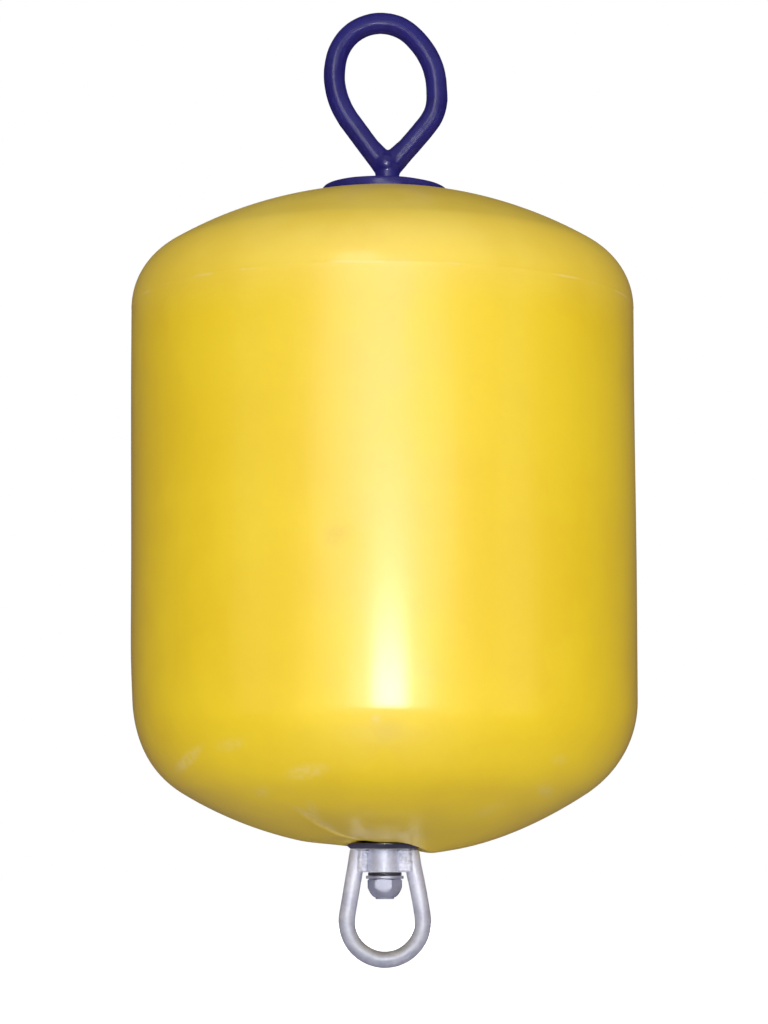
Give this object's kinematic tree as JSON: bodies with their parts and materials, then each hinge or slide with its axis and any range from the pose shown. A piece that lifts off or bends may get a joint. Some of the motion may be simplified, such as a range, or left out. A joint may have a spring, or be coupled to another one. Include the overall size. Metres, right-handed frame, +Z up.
{
  "type": "mooring buoy",
  "caption": "Upright cylindrical mooring buoy with domed ends, a coated steel mooring eye on top and a galvanised chain swivel below.",
  "frame": {"origin": "on the buoy's axis at the waterline, which is taken at half the height of the float's straight side", "axes": "+Z up along the axis towards the mooring eye; the eye and the bail lie in the XZ plane"},
  "size_m": [0.5, 0.4998, 0.9556],
  "materials": {
    "yellow_skin": "glossy yellow float skin",
    "blue_coating": "glossy dark blue dipped coating on steel",
    "galvanised_steel": "hot-dip galvanised steel",
    "plated_steel": "zinc-plated steel",
    "black_bearing": "dark bearing plastic"
  },
  "bodies": {
    "buoy": {"float_body": "yellow_skin", "top_flange": "blue_coating", "eye_rod": "blue_coating", "bottom_plate": "blue_coating", "thrust_washer": "black_bearing", "flat_washer": "plated_steel", "lock_nut": "plated_steel"},
    "swivel": {"swivel_hub": "galvanised_steel", "swivel_bail": "galvanised_steel"}
  },
  "joints": [
    {"name": "swivel_spin", "type": "hinge", "parent": "buoy", "child": "swivel", "pos_m": [0, 0, -0.35], "axis": [0, 0, 1], "continuous": true}
  ]
}
